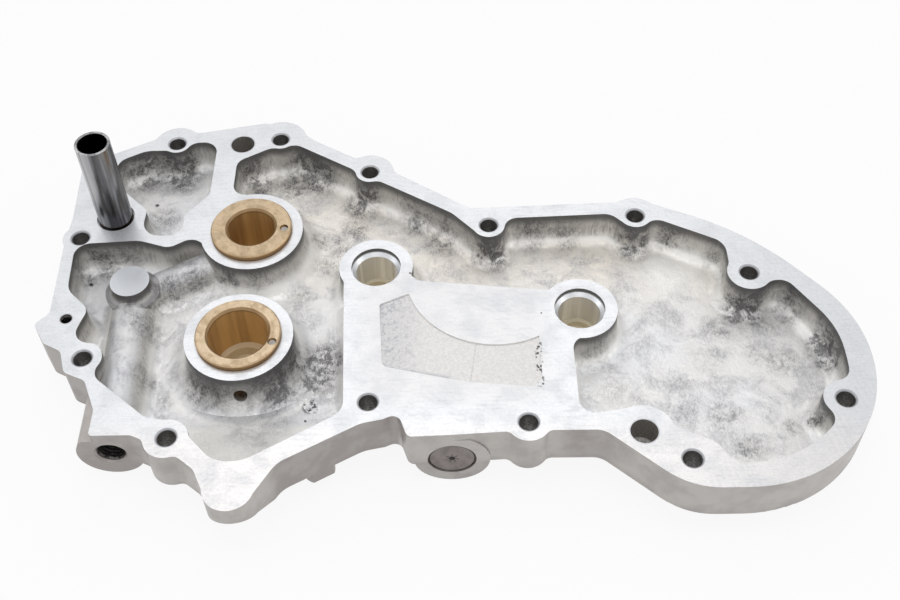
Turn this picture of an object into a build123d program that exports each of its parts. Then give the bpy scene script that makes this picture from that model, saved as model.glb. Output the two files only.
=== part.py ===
from build123d import *
import math
import os

os.makedirs("parts", exist_ok=True)

# Cam cover of a pushrod V-twin, in millimetres.
# Z = 0 is the machined gasket face and +Z points out of it, away from the cover.
# The origin is the axis of the cam shaft bush, +X runs along the cover's length
# and the pinion shaft bush lies straight up the +Y axis.

# Casting depths, measured down from the gasket face
BODY_DEPTH = 20.5
POCKET_DEPTH = 15.5
REST_DEPTH = 31.3
WALL_DRAFT = 2.0
FLOOR_FILLET = 5.0
POCKET_CORNER = FLOOR_FILLET + 1
OUTER_EDGE_FILLET = 2.0

# Shaft centres
CAM_CENTRE = (0.0, 0.0)
PINION_CENTRE = (0.0, 56.3)
IDLER_CENTRE = (53.1, 34.9)
DRIVE_CENTRE = (135.0, 11.5)

# Cover screws, clockwise from the bottom left: x, y, radius of the lobe that
# carries the screw on the outline (0 where the wall is wide enough) and radius
# of the pad that it makes in a pocket (0 where it stands clear of the pocket)
SCREWS = [
    (-22.0, -46.8, 8.8, 8.0),
    (52.0, -32.3, 0, 0),
    (112.0, -42.3, 8.3, 0),
    (170.5, -59.2, 0, 0),
    (231.3, -34.0, 0, 8.5),
    (205.3, 28.9, 0, 8.9),
    (162.3, 61.5, 10.4, 6.6),
    (100.0, 57.4, 0, 6.8),
    (48.8, 90.4, 10.4, 6.2),
    (7.8, 112.1, 11.5, 6.0),
    (-38.6, 110.4, 10.3, 0),
    (-72.0, 53.7, 7.5, 0),
    (-59.8, -9.6, 0, 7.6),
]
SCREW_HOLE_R = 3.6
SCREW_RIM_CHAMFER = 0.5
SCREW_SEAT_R = 5.6
SCREW_SEAT_DEPTH = 4.0
BREATHER_SCREW = 10
BREATHER_SCREW_PAD_R = 5.8
LOBE_FILLET = 3.5

# Dowel holes and the small tapped hole, all blind
DOWEL_CENTRES = [(-9.0, 109.2), (154.3, -47.2)]
DOWEL_HOLE_R = 5.2
DOWEL_HOLE_DEPTH = 12.0
DOWEL_PAD_R = 11.6
TAPPED_CENTRE = (-69.8, 10.1)
TAPPED_HOLE_R = 2.4
TAPPED_HOLE_DEPTH = 14.0

# Flanged bushes, pressed in from the gasket side
BOSS_RING_R = 21.4
BOSS_COVE = 9.0
FLANGE_THICKNESS = 2.4
FLANGE_EDGE_CHAMFER = 0.5
SPOT_FACE_DEPTH = 0.3
SPOT_FACE_GAP = 0.4
CAM_FLANGE_R = 16.9
CAM_BORE_R = 11.9
CAM_BARREL_R = 14.3
CAM_BUSH_DEPTH = 19.3
CAM_RELIEF_R = 9.2
CAM_RELIEF_DEPTH = 24.0
PINION_FLANGE_R = 17.0
PINION_BORE_R = 9.9
PINION_BARREL_R = 12.7
PINION_BUSH_DEPTH = 24.0
PINION_RELIEF_R = 8.6
PINION_RELIEF_DEPTH = 27.0
BORE_CHAMFER = 0.9

# Pins that keep the flanged bushes from turning
PIN_R = 1.8
PIN_BELOW_FLANGE = 0.8
PIN_DEPTH = 9.0
CAM_PIN_PITCH_R = 14.6
CAM_PIN_ANGLE = -18.5
PINION_PIN_PITCH_R = 13.9
PINION_PIN_ANGLE = -3.0

# Oil feed drilled through the front of the cam boss to its bush
OIL_FEED_R = 2.7
OIL_FEED_BUSH_R = 1.7
OIL_FEED_OUTER = (2.4, -27.0, -6.6)
OIL_FEED_INNER = (0.0, -11.0, -14.5)

# Blind stud bushes, pressed below the gasket face
STUD_BOSS_R = 15.0
STUD_BOSS_COVE = 6.0
BOSS_PAD_INSET = 1.0
STUD_BUSH_R = 10.2
STUD_BUSH_SINK = 1.8
STUD_BUSH_BORE_R = 8.4
STUD_BUSH_CHAMFER = 1.4
STUD_BUSH_END = 17.0
STUD_RELIEF_R = 6.6
STUD_RELIEF_DEPTH = 19.5

# Breather tube, pressed in beside the breather chamber
TUBE_CENTRE = (-59.0, 65.4)
TUBE_OUTER_R = 7.15
TUBE_INNER_R = 6.0
TUBE_TOP = 43.0
TUBE_SEAT_DEPTH = 14.0
TUBE_EXPANSION = 0.3
TUBE_GAP = 0.8
TUBE_GAP_DEPTH = 1.2
TUBE_OUTLET_R = 5.0

# Relief passage, drilled from the front wall and closed by a plug
PASSAGE_X = 83.3
PASSAGE_Z = -16.8
PASSAGE_BOSS_R = REST_DEPTH + PASSAGE_Z
PASSAGE_R = 7.4
PASSAGE_END_Y = -2.0
PASSAGE_BOSS_END_Y = 12.0
PLUG_R = 8.9
PLUG_LENGTH = 9.0
PLUG_SINK = 0.4
PLUG_GAP = 0.4
PLUG_GAP_DEPTH = 1.6
PLUG_DIMPLE_R = 1.1

# Oil supply, entered through a tapped boss on the front wall
SUPPLY_X = -45.5
SUPPLY_Z = -12.7
SUPPLY_BOSS_R = 12.8
SUPPLY_TAPPING_R = 5.5
SUPPLY_MOUTH_CHAMFER = 0.8
SUPPLY_TAPPED_LENGTH = 15.0
SUPPLY_DRILL_R = 3.2
SUPPLY_FACE_Y = -45.5
SUPPLY_RIDGE_R = 8.8
RIDGE_COVE = 5.5
POST_CENTRE = (-47.5, 29.4)
POST_R = 7.9
POST_COVE = 3.0
CROSS_RIDGE_R = 7.6

# Front wall plane that carries the relief passage's plug
FRONT_WALL_Y = -47.5

# Lip left as cast in the middle of the gasket face
RECESS_DEPTH = 0.6
RECESS_ARC_CENTRE = (101.5, 30.0)
RECESS_ARC_R = 36.0

# The horn at the front left, thinner than the body
HORN_TIP = (3.05, -68.5)
HORN_TIP_R = 9.5
HORN_TIP_Y = -78.0
HORN_THICKNESS = 9.1
HORN_FULL_Y = -60.0

# Lug below the front wall, for the cover on the outside
LUG_CENTRE = (32.2, -46.4)
LUG_R = 6.2
LUG_DEPTH = 24.4

# Outside of the cover
CAM_DOME_R = 23.0
PINION_DOME_R = 20.0
STUD_DOME_R = 13.5
DOME_DRAFT = 3.0
DOME_EDGE = 2.5
DOME_COVE = 3.0

# Outline of the gasket face without its screw lobes: x, y, corner radius
OUTLINE = [
    (-78.9, 97.8, 6.0), (-45.8, 114.9, 0), (-38.6, 116.0, 0), (-28.0, 117.3, 0),
    (0.0, 122.9, 0), (14.0, 119.3, 0), (23.0, 111.0, 10.0), (41.0, 99.8, 0),
    (57.0, 93.0, 0), (61.0, 88.9, 4.0), (92.5, 67.3, 6.0), (166.5, 69.9, 0),
    (207.2, 51.6, 115.0), (245.6, 6.0, 56.0), (245.6, -71.4, 56.0),
    (168.6, -71.4, 30.0), (139.6, -46.2, 8.0), (112.0, -46.0, 0),
    (83.3, FRONT_WALL_Y, 0), (66.9, FRONT_WALL_Y - 0.6, 2.8), (63.4, -37.6, 3.0), (57.6, -40.2, 2.0),
    (49.6, -41.8, 15.0), (19.6, -58.5, 12.0), (12.2, -71.0, 0), (3.05, -72.0, 0),
    (-5.5, -71.0, 0), (-10.5, -60.5, 6.0), (-20.5, -52.5, 0),
    (-35.5, SUPPLY_FACE_Y, 1.5), (-51.2, SUPPLY_FACE_Y, 1.5), (-51.2, -34.0, 4.0),
    (-57.0, -20.3, 4.0), (-65.8, -16.3, 4.0), (-69.0, -6.0, 3.0), (-76.3, -2.2, 3.0),
    (-82.2, 7.5, 2.2), (-77.0, 13.0, 4.0), (-78.2, 50.0, 0), (-77.4, 66.0, 8.0),
]

# Outline of the gear chamber without its pads
CHAMBER = [
    (-10.5, 98.3, 5.5), (7.8, 108.8, 0), (7.8, 113.2, 0), (84.5, 64.8, 15.0),
    (95.6, 52.4, 0), (100.0, 60.9, 0), (151.8, 62.8, 7.0), (158.5, 56.2, 0),
    (166.0, 62.2, 0), (197.9, 45.6, 8.0), (197.9, 29.0, 0), (205.3, 24.6, 0),
    (219.9, 24.6, 5.5), (235.6, 0.0, 38.0), (235.6, -61.3, 46.0), (185.6, -61.3, 5.5),
    (180.2, -52.4, 8.0), (163.5, -44.0, 0), (152.0, -36.3, 0), (131.4, -39.8, 5.0), (131.0, -3.5, 4.0),
    (135.0, -3.0, 0), (124.5, 21.0, 0), (60.0, 28.4, 0), (39.9, 33.0, 0),
    (42.8, -36.3, 8.0), (6.8, -57.5, 16.0), (-3.7, -57.5, 12.0), (-16.5, -43.5, 0),
    (-22.0, -39.2, 0), (-31.0, -37.9, 10.0), (-54.5, -18.0, 8.0), (-55.5, -10.0, 0),
    (-60.0, -3.5, 0), (-65.6, 1.0, 5.5), (-64.0, 7.5, 0), (-61.9, 15.0, 5.5),
    (-72.2, 25.3, 10.0), (-73.6, 50.2, 6.5), (-47.0, 51.7, 12.0), (-34.0, 47.3, 6.0),
    (-24.8, 52.9, 4.5), (-12.0, 44.0, 0), (0.0, 56.3, 0), (1.5, 77.4, 0), (-10.5, 77.6, 5.5),
]

# Outline of the breather chamber
BREATHER = [
    (-65.5, 98.5, 7.0), (-52.0, 106.0, 12.0), (-38.6, 106.0, 0), (-38.6, 110.9, 0),
    (-20.3, 110.9, 6.5), (-20.3, 78.0, 6.0), (-29.5, 66.0, 8.0), (-29.5, 54.3, 6.0),
    (-46.8, 54.3, 8.0), (-46.3, 69.0, 4.0), (-57.0, 80.0, 6.0),
]


def rounded(points):
    """Face inside a closed outline of x, y, corner radius rows."""
    corners = [(x, y) for x, y, radius in points]
    radii = [radius for x, y, radius in points]
    return make_face(FilletPolyline(*corners, radius=radii, close=True))


def fill_corners(face, radius):
    """Round every inward corner of an outline that is sharper than a radius."""
    return offset(offset(face.faces()[0], radius), -radius).faces()[0]


def open_corners(face, radius):
    """Round every outward corner of an outline that is sharper than a radius."""
    return offset(offset(face.faces()[0], -radius), radius).faces()[0]


def cylinder_down(centre, radius, top, bottom):
    """Round bar or hole between two heights."""
    return Pos(centre[0], centre[1], bottom) * Cylinder(
        radius, top - bottom, align=(Align.CENTER, Align.CENTER, Align.MIN)
    )


def cone_down(centre, top_r, bottom_r, top, bottom):
    """Cone between two heights, for the chamfer of a rim."""
    return Pos(centre[0], centre[1], bottom) * Cone(
        bottom_r, top_r, top - bottom, align=(Align.CENTER, Align.CENTER, Align.MIN)
    )


def bar_along_y(x, z, radius, y_from, y_to):
    """Round bar or hole running along Y."""
    return Pos(x, y_from, z) * Rot(-90, 0, 0) * Cylinder(
        radius, y_to - y_from, align=(Align.CENTER, Align.CENTER, Align.MIN)
    )


def blind_hole(centre, radius, depth):
    """Blind hole from the gasket face with a drill point."""
    hole = cylinder_down(centre, radius, 1, -depth)
    return hole + cone_down(centre, radius, 0.2, -depth, -depth - radius * 0.6)


def outer_face():
    """Gasket face outline with its screw lobes and the horn's round tip."""
    face = rounded(OUTLINE) + Pos(*HORN_TIP) * Circle(HORN_TIP_R)
    for x, y, lobe, pad in SCREWS:
        if lobe:
            face += Pos(x, y) * Circle(lobe)
    return fill_corners(face, LOBE_FILLET)


def chamber_face():
    """Gear chamber outline with its screw pads, dowel pad and bosses."""
    pads = [((x, y), pad) for x, y, lobe, pad in SCREWS if pad]
    pads += [(DOWEL_CENTRES[1], DOWEL_PAD_R), (PINION_CENTRE, BOSS_RING_R - BOSS_PAD_INSET)]
    pads += [(centre, STUD_BOSS_R - BOSS_PAD_INSET) for centre in (IDLER_CENTRE, DRIVE_CENTRE)]
    face = rounded(CHAMBER)
    for centre, pad in pads:
        face -= Pos(*centre) * Circle(pad)
    return open_corners(face, POCKET_CORNER)


def breather_face():
    """Breather chamber outline with the pad of its top screw."""
    centre = SCREWS[BREATHER_SCREW][:2]
    face = rounded(BREATHER) - Pos(*centre) * Circle(BREATHER_SCREW_PAD_R)
    return open_corners(face, POCKET_CORNER)


def pocket(face, depth):
    """Cast pocket with drafted walls and a rounded floor edge."""
    block = extrude(face, amount=-depth)
    walls = [wall for wall in block.faces() if wall.bounding_box().size.Z > depth / 2]
    block = draft(walls, Plane.XY, -WALL_DRAFT)
    floor = block.faces().sort_by(Axis.Z)[0]
    block = fillet(floor.edges(), FLOOR_FILLET)
    # A thin slab above the face keeps the cut clean at the gasket face
    return block + extrude(face, amount=0.5)


def flared_boss(centre, radius, cove, top, foot):
    """Cast boss with a little draft, widening in a cove at its foot."""
    draft_run = (top - foot - cove) * math.tan(math.radians(DOME_DRAFT))
    neck = radius + draft_run
    half = make_face([
        Line((0, top), (radius, top)),
        Line((radius, top), (neck, foot + cove)),
        RadiusArc((neck, foot + cove), (neck + cove, foot), -cove),
        Line((neck + cove, foot), (neck + cove, foot - 1.5)),
        Line((neck + cove, foot - 1.5), (0, foot - 1.5)),
        Line((0, foot - 1.5), (0, top)),
    ])
    return Pos(centre[0], centre[1], 0) * revolve(Plane.XZ * half, Axis.Z)


def ridge(start, end, radius, axis_z, floor_z, cove):
    """Half-round ridge over an oilway, coved into a floor at its foot."""
    run = math.dist(start, end)
    section = Pos(0, axis_z) * Circle(radius)
    section += Pos(0, floor_z - 1) * Rectangle(2 * radius + 4 * cove, 2)
    feet = [v for v in section.vertices() if abs(v.Y - floor_z) < 0.001 and abs(v.X) < radius + cove]
    section = fillet(feet, cove)
    heading = Vector(end[0] - start[0], end[1] - start[1], 0).normalized()
    across = Vector(-heading.Y, heading.X, 0)
    plane = Plane(origin=(start[0], start[1], 0), x_dir=across * -1, z_dir=heading * -1)
    return extrude(plane * section, amount=-run)


def dome(centre, radius):
    """Round boss on the outside of the cover, level with the rest plane."""
    height = REST_DEPTH - BODY_DEPTH
    boss = flared_boss(centre, radius - height * math.tan(math.radians(DOME_DRAFT)), DOME_COVE, height, 0)
    boss = fillet(boss.faces().sort_by(Axis.Z)[-1].edges(), DOME_EDGE)
    return Pos(0, 0, -BODY_DEPTH) * mirror(boss, Plane.XY)


def body_blank():
    """Outside of the casting before its pockets and holes."""
    outline = outer_face()
    blank = extrude(outline, amount=-BODY_DEPTH)
    back = blank.faces().sort_by(Axis.Z)[0]
    blank = fillet(back.edges(), OUTER_EDGE_FILLET)
    blank -= horn_undercut()
    blank += dome(CAM_CENTRE, CAM_DOME_R)
    blank += dome(PINION_CENTRE, PINION_DOME_R)
    blank += dome(IDLER_CENTRE, STUD_DOME_R)
    blank += dome(DRIVE_CENTRE, STUD_DOME_R)
    passage = bar_along_y(PASSAGE_X, PASSAGE_Z, PASSAGE_BOSS_R, FRONT_WALL_Y, PASSAGE_BOSS_END_Y)
    passage = fillet(passage.faces().sort_by(Axis.Y)[-1].edges(), 6)
    supply = bar_along_y(SUPPLY_X, SUPPLY_Z, SUPPLY_BOSS_R, SUPPLY_FACE_Y, POST_CENTRE[1])
    supply = fillet(supply.faces().sort_by(Axis.Y)[-1].edges(), 6)
    below = Pos(0, 0, -4) * Box(800, 800, 100, align=(Align.CENTER, Align.CENTER, Align.MAX))
    lug = cylinder_down(LUG_CENTRE, LUG_R, OUTER_EDGE_FILLET - BODY_DEPTH, -LUG_DEPTH)
    lug &= extrude(outline, amount=-REST_DEPTH)
    return blank + (passage & below) + (supply & below) + lug


def horn_undercut():
    """Wedge that thins the horn towards its tip on the outer side."""
    tip_y = HORN_TIP_Y - 5
    slope = (BODY_DEPTH - HORN_THICKNESS) / (HORN_FULL_Y - HORN_TIP_Y)
    wedge = Polyline(
        (HORN_FULL_Y, -BODY_DEPTH), (tip_y, -HORN_THICKNESS + 5 * slope), (tip_y, -BODY_DEPTH - 5),
        (HORN_FULL_Y, -BODY_DEPTH - 5), close=True,
    )
    return Pos(-20, 0, 0) * extrude(Plane.YZ * make_face(wedge), amount=50)


def horn_bowl():
    """Fill that raises the chamber floor gently towards the horn."""
    fill = make_face([
        Line((-20, -POCKET_DEPTH - 4), (-20, -POCKET_DEPTH)),
        Spline((-20, -POCKET_DEPTH), (-38, -12.4), (-48, -7.6), (-62, -0.6), tangents=[(-1, 0), (-1, 0.55)]),
        Line((-62, -0.6), (-62, -POCKET_DEPTH - 4)),
        Line((-62, -POCKET_DEPTH - 4), (-20, -POCKET_DEPTH - 4)),
    ])
    return Pos(-30, 0, 0) * extrude(Plane.YZ * fill, amount=80)


def chamber_cut():
    """Everything that the gear chamber removes from the blank."""
    cut = pocket(chamber_face(), POCKET_DEPTH)
    for centre in (CAM_CENTRE, PINION_CENTRE):
        cut -= flared_boss(centre, BOSS_RING_R, BOSS_COVE, 2, -POCKET_DEPTH)
    for centre in (IDLER_CENTRE, DRIVE_CENTRE):
        cut -= flared_boss(centre, STUD_BOSS_R, STUD_BOSS_COVE, 2, -POCKET_DEPTH)
    supply = ridge((SUPPLY_X, -42), POST_CENTRE, SUPPLY_RIDGE_R, SUPPLY_Z, -POCKET_DEPTH, RIDGE_COVE)
    cross = ridge(POST_CENTRE, PINION_CENTRE, CROSS_RIDGE_R, SUPPLY_Z, -POCKET_DEPTH, RIDGE_COVE)
    post = flared_boss(POST_CENTRE, POST_R, POST_COVE, 2, SUPPLY_Z + SUPPLY_RIDGE_R - 2)
    cut -= supply
    cut -= cross
    cut -= post + cylinder_down(POST_CENTRE, POST_R + 1, -6, -POCKET_DEPTH - 1)
    return cut - horn_bowl()


def recess_cut():
    """Shallow lip left as cast between the machined faces."""
    lip = rounded([
        (55.0, 15.0, 1.5), (66.0, 20.2, 3), (82.0, 20.2, 0), (118.0, 8.0, 0),
        (118.3, -26.5, 5), (91.0, -24.0, 0), (76.0, -20.5, 6), (56.8, -15.6, 2.5),
    ])
    lip -= Pos(*RECESS_ARC_CENTRE) * Circle(RECESS_ARC_R)
    return extrude(lip.faces().sort_by(SortBy.AREA)[-1], amount=-RECESS_DEPTH)


def screw_cuts():
    """Screw holes right through, with a seat for each head on the outside."""
    cuts = []
    for x, y, lobe, pad in SCREWS:
        centre = (x, y)
        cuts.append(cylinder_down(centre, SCREW_HOLE_R, 1, -BODY_DEPTH - 1))
        cuts.append(cylinder_down(centre, SCREW_SEAT_R, -BODY_DEPTH + SCREW_SEAT_DEPTH, -BODY_DEPTH - 5))
        rim = SCREW_HOLE_R + SCREW_RIM_CHAMFER
        cuts.append(cone_down(centre, rim + 0.2, SCREW_HOLE_R, 0.2, -SCREW_RIM_CHAMFER))
    return cuts


def bush_cuts():
    """Bores for the bushes, their reliefs and the breather tube's seat."""
    cuts = [
        cylinder_down(CAM_CENTRE, CAM_FLANGE_R + SPOT_FACE_GAP, 1, -SPOT_FACE_DEPTH),
        cylinder_down(PINION_CENTRE, PINION_FLANGE_R + SPOT_FACE_GAP, 1, -SPOT_FACE_DEPTH),
        cylinder_down(CAM_CENTRE, CAM_BARREL_R, 1, -CAM_BUSH_DEPTH),
        cylinder_down(CAM_CENTRE, CAM_RELIEF_R, 1, -CAM_RELIEF_DEPTH),
        cylinder_down(PINION_CENTRE, PINION_BARREL_R, 1, -PINION_BUSH_DEPTH),
        cylinder_down(PINION_CENTRE, PINION_RELIEF_R, 1, -PINION_RELIEF_DEPTH),
    ]
    for centre in (IDLER_CENTRE, DRIVE_CENTRE):
        cuts.append(cylinder_down(centre, STUD_BUSH_R, 1, -STUD_BUSH_END))
        cuts.append(cylinder_down(centre, STUD_RELIEF_R, 1, -STUD_RELIEF_DEPTH))
    cuts.append(cylinder_down(TUBE_CENTRE, TUBE_OUTER_R + TUBE_EXPANSION, 1, -TUBE_SEAT_DEPTH))
    cuts.append(cylinder_down(TUBE_CENTRE, TUBE_OUTER_R + TUBE_GAP, 1, -TUBE_GAP_DEPTH))
    cuts.append(cylinder_down(TUBE_CENTRE, TUBE_OUTLET_R, 1, -BODY_DEPTH - 1))
    return cuts


def pin_place(centre, pitch_r, angle):
    """Axis of a bush pin, from its bush's centre."""
    turn = math.radians(angle)
    return (centre[0] + pitch_r * math.cos(turn), centre[1] + pitch_r * math.sin(turn))


CAM_PIN = pin_place(CAM_CENTRE, CAM_PIN_PITCH_R, CAM_PIN_ANGLE)
PINION_PIN = pin_place(PINION_CENTRE, PINION_PIN_PITCH_R, PINION_PIN_ANGLE)


def pin_hole(centre):
    """Drilling for a bush pin, through the flange and into the boss."""
    return cylinder_down(centre, PIN_R, FLANGE_THICKNESS + 1, -PIN_DEPTH)


def oil_feed(radius):
    """Drilling through the front of the cam boss, aimed at its bush."""
    outer = Vector(*OIL_FEED_OUTER)
    inner = Vector(*OIL_FEED_INNER)
    plane = Plane(origin=outer, z_dir=inner - outer)
    return extrude(plane * Circle(radius), amount=(inner - outer).length)


def oilway_cuts():
    """Relief passage and oil supply, both entered from the front wall."""
    front = FRONT_WALL_Y
    relief = bar_along_y(PASSAGE_X, PASSAGE_Z, PASSAGE_R, front - 1, PASSAGE_END_Y)
    plug_seat = bar_along_y(PASSAGE_X, PASSAGE_Z, PLUG_R, front - 1, front + PLUG_SINK + PLUG_LENGTH)
    plug_gap = bar_along_y(PASSAGE_X, PASSAGE_Z, PLUG_R + PLUG_GAP, front - 1, front + PLUG_GAP_DEPTH)
    face = SUPPLY_FACE_Y
    tapping = bar_along_y(SUPPLY_X, SUPPLY_Z, SUPPLY_TAPPING_R, face - 1, face + SUPPLY_TAPPED_LENGTH)
    drilling = bar_along_y(SUPPLY_X, SUPPLY_Z, SUPPLY_DRILL_R, face - 1, POST_CENTRE[1])
    mouth_r = SUPPLY_TAPPING_R + SUPPLY_MOUTH_CHAMFER
    mouth = Pos(SUPPLY_X, face - 0.2, SUPPLY_Z) * Rot(-90, 0, 0) * Cone(
        mouth_r + 0.2, SUPPLY_TAPPING_R, SUPPLY_MOUTH_CHAMFER + 0.2,
        align=(Align.CENTER, Align.CENTER, Align.MIN),
    )
    return [relief, plug_seat, plug_gap, tapping, drilling, mouth]


def casting():
    """The cover itself, one aluminium casting with its machining."""
    cuts = [chamber_cut(), pocket(breather_face(), POCKET_DEPTH), recess_cut()]
    cuts += screw_cuts() + bush_cuts() + oilway_cuts()
    cuts += [blind_hole(centre, DOWEL_HOLE_R, DOWEL_HOLE_DEPTH) for centre in DOWEL_CENTRES]
    cuts.append(blind_hole(TAPPED_CENTRE, TAPPED_HOLE_R, TAPPED_HOLE_DEPTH))
    cuts += [pin_hole(CAM_PIN), pin_hole(PINION_PIN), oil_feed(OIL_FEED_R)]
    return body_blank() - cuts


def flanged_bush(centre, flange_r, barrel_r, bore_r, depth, pin):
    """Bronze bush with a thrust flange, bored and broken at the mouth."""
    bush = cylinder_down(centre, flange_r, FLANGE_THICKNESS, -SPOT_FACE_DEPTH)
    rim = bush.faces().sort_by(Axis.Z)[-1].edges()
    bush = chamfer(rim, FLANGE_EDGE_CHAMFER)
    bush += cylinder_down(centre, barrel_r, FLANGE_THICKNESS / 2, -depth)
    bush -= cylinder_down(centre, bore_r, FLANGE_THICKNESS + 1, -depth - 1)
    top = FLANGE_THICKNESS + 0.2
    bush -= cone_down(centre, bore_r + BORE_CHAMFER + 0.2, bore_r, top, FLANGE_THICKNESS - BORE_CHAMFER)
    return bush - pin_hole(pin)


def bush_pin(centre):
    """Pin pressed through a flange into the boss, a little below its face."""
    top = FLANGE_THICKNESS - PIN_BELOW_FLANGE
    pin = cylinder_down(centre, PIN_R, top, -PIN_DEPTH)
    return fillet(pin.faces().sort_by(Axis.Z)[-1].edges(), 0.5)


def stud_bush(centre):
    """Plain bush pressed into a stud boss, with a broad lead at its mouth."""
    mouth = -STUD_BUSH_SINK
    bush = cylinder_down(centre, STUD_BUSH_R, mouth, -STUD_BUSH_END)
    bush -= cylinder_down(centre, STUD_BUSH_BORE_R, 1, -STUD_BUSH_END - 1)
    wide = STUD_BUSH_BORE_R + STUD_BUSH_CHAMFER
    return bush - cone_down(centre, wide + 0.2, STUD_BUSH_BORE_R, mouth + 0.2, mouth - STUD_BUSH_CHAMFER)


def breather_tube():
    """Open tube standing out of the gasket face, expanded into its seat."""
    tube = cylinder_down(TUBE_CENTRE, TUBE_OUTER_R, TUBE_TOP, 0)
    tube += cylinder_down(TUBE_CENTRE, TUBE_OUTER_R + TUBE_EXPANSION, 0, -TUBE_SEAT_DEPTH)
    tube -= cylinder_down(TUBE_CENTRE, TUBE_INNER_R, TUBE_TOP + 1, -TUBE_SEAT_DEPTH - 1)
    return fillet(tube.faces().sort_by(Axis.Z)[-1].edges(), 0.3)


def passage_plug():
    """Round plug driven into the relief passage, with a centre punch mark."""
    face = FRONT_WALL_Y + PLUG_SINK
    plug = bar_along_y(PASSAGE_X, PASSAGE_Z, PLUG_R, face, face + PLUG_LENGTH)
    plug = chamfer(plug.faces().sort_by(Axis.Y)[0].edges(), 0.5)
    mark = Pos(PASSAGE_X, face - 0.2, PASSAGE_Z) * Rot(-90, 0, 0) * Cone(
        PLUG_DIMPLE_R + 0.2, 0.1, 1.0, align=(Align.CENTER, Align.CENTER, Align.MIN)
    )
    return plug - mark


def save(node, shape):
    """Write one node's solid to its own file."""
    export_step(shape, f"parts/{node}.step")


cam_bush = flanged_bush(CAM_CENTRE, CAM_FLANGE_R, CAM_BARREL_R, CAM_BORE_R, CAM_BUSH_DEPTH, CAM_PIN)
pinion_bush = flanged_bush(
    PINION_CENTRE, PINION_FLANGE_R, PINION_BARREL_R, PINION_BORE_R, PINION_BUSH_DEPTH, PINION_PIN
)
save("cover_casting", casting())
save("cam_shaft_bush", cam_bush - oil_feed(OIL_FEED_BUSH_R))
save("pinion_shaft_bush", pinion_bush)
save("cam_bush_pin", bush_pin(CAM_PIN))
save("pinion_bush_pin", bush_pin(PINION_PIN))
save("idler_stud_bush", stud_bush(IDLER_CENTRE))
save("drive_stud_bush", stud_bush(DRIVE_CENTRE))
save("breather_tube", breather_tube())
save("passage_plug", passage_plug())
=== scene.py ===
import math

import bmesh
import bpy
from mathutils import Matrix, Vector


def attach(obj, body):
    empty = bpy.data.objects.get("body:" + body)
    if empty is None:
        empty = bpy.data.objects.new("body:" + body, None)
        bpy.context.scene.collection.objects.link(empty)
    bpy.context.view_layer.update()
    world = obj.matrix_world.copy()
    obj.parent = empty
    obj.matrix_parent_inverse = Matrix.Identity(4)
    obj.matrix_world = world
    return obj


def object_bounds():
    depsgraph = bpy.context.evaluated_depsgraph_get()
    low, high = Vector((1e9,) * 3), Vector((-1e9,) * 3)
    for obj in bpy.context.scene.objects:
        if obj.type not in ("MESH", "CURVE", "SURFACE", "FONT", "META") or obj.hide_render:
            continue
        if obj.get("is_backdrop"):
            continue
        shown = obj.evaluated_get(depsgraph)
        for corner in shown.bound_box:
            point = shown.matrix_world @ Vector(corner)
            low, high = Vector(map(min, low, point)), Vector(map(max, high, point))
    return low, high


bl_info = {
    "name": "Cam Cover Finish",
    "version": (1, 0, 0),
    "blender": (4, 5, 0),
    "location": "View3D > Sidebar > Cam Cover",
    "description": "Finishes and stages a cast cam cover with its bushes and breather tube",
    "category": "Object",
}

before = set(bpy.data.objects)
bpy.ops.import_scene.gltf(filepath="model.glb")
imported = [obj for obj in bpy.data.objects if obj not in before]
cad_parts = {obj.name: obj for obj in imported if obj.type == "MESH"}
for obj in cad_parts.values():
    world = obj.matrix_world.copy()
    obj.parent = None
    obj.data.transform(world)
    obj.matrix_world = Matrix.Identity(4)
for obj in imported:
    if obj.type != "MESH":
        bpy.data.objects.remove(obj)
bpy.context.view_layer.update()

# The photograph's width and focal length in pixels, and where its camera stood, in metres
PHOTO_WIDTH = 900
PHOTO_FOCAL = 1219.0
SENSOR_WIDTH = 36.0
CAMERA_PLACE = (0.085575, -0.294012, 0.378)
CAMERA_RIGHT = (0.999864, -0.009290, -0.013619)
CAMERA_UP = (0.015825, 0.772461, 0.634865)

# The stage: distances in metres, and colours
LIGHT_AIM = (0.085, 0.02, 0.0)
FLOOR_HALF = 6.0
FLOOR_GAP = 0.0002
WHITE = (1.0, 1.0, 1.0, 1.0)
PALE = (0.86, 0.86, 0.86, 1.0)

MM = 0.001

# Places on the cover in millimetres, in the CAD frame
FLOOR_Z = -15.5
CAM_CENTRE = (0.0, 0.0)
PINION_CENTRE = (0.0, 56.3)
IDLER_CENTRE = (53.1, 34.9)
DRIVE_CENTRE = (135.0, 11.5)
TUBE_CENTRE = (-59.0, 65.4)
POST_CENTRE = (-47.5, 29.4)
PLUG_CENTRE = (83.3, -16.8)
SUPPLY_MOUTH = (-45.5, -45.5, -12.7)
TAPPED_CENTRE = (-69.8, 10.1)
CLUSTER_CENTRE = (28.5, -23.5)
POOL_CENTRE = (178.0, 44.0)
# Corner of the outside wall with painted shade
SHADED_CORNER = (136.0, -45.0)
SWEEP_CENTRE = (30.0, -95.0)

# Radii on the cover in millimetres
CAM_BORE_R = 11.9
PINION_BORE_R = 9.9
POST_R = 8.0
PLUG_R = 8.7
SCREW_HOLE_R = 3.6

# Direction in plan of the ridge that crosses from the post to the bushes
RIDGE_WAY = (0.87, 0.49)

# The web that carries the lip left as cast: its ends in x and in y
WEB_X = (54.5, 119.0)
WEB_Y = (-28.5, 20.6)

# The threads: root radius and start in millimetres, and turns
SUPPLY_ROOT_R, SUPPLY_START, SUPPLY_TURNS = 5.5, 0.9, 9
TAPPED_ROOT_R, TAPPED_START, TAPPED_TURNS = 2.4, 0.6, 14
THREAD_STEPS = 36
CREST_FROM, CREST_TO = 0.42, 0.58

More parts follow.
